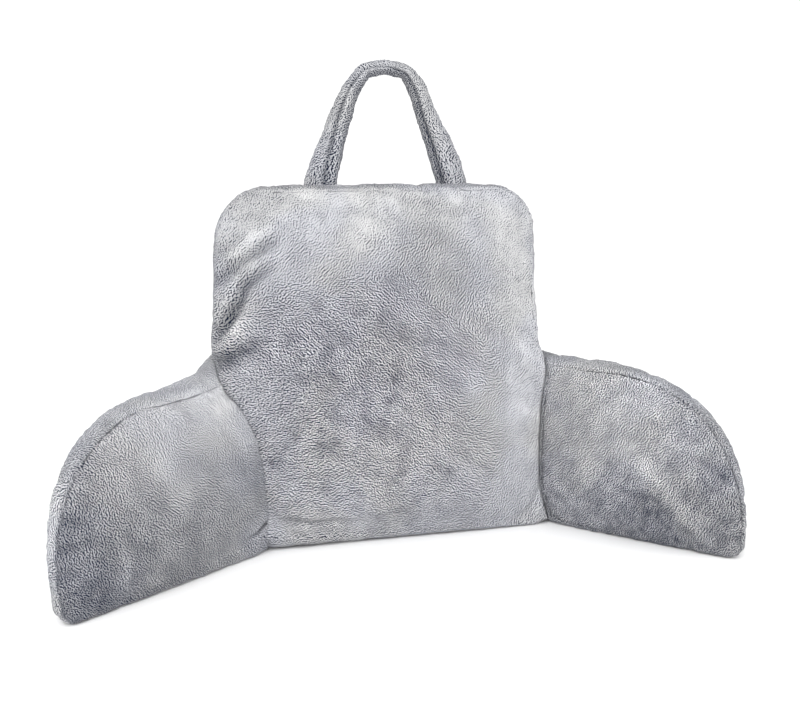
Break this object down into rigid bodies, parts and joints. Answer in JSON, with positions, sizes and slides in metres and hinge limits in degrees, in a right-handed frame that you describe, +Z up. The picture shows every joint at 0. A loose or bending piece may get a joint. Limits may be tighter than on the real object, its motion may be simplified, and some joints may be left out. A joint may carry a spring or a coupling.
{
  "type": "reading pillow with arms",
  "caption": "Free-standing filled backrest pillow in grey plush, with a padded arm splayed forward on each side and a carry loop on top.",
  "frame": {"origin": "middle of the backrest's flat base, on the surface that it stands on", "axes": "+X to the right of someone facing the pillow's front, +Y from its front to its back, +Z up"},
  "size_m": [0.8218, 0.3907, 0.6256],
  "materials": {
    "backrest_plush": "short soft grey pile",
    "arm_left_plush": "short soft grey pile",
    "arm_right_plush": "short soft grey pile",
    "handle_plush": "short soft grey pile"
  },
  "bodies": {
    "root": {"backrest": "backrest_plush", "arm_left": "arm_left_plush", "arm_right": "arm_right_plush", "handle": "handle_plush"}
  },
  "joints": []
}
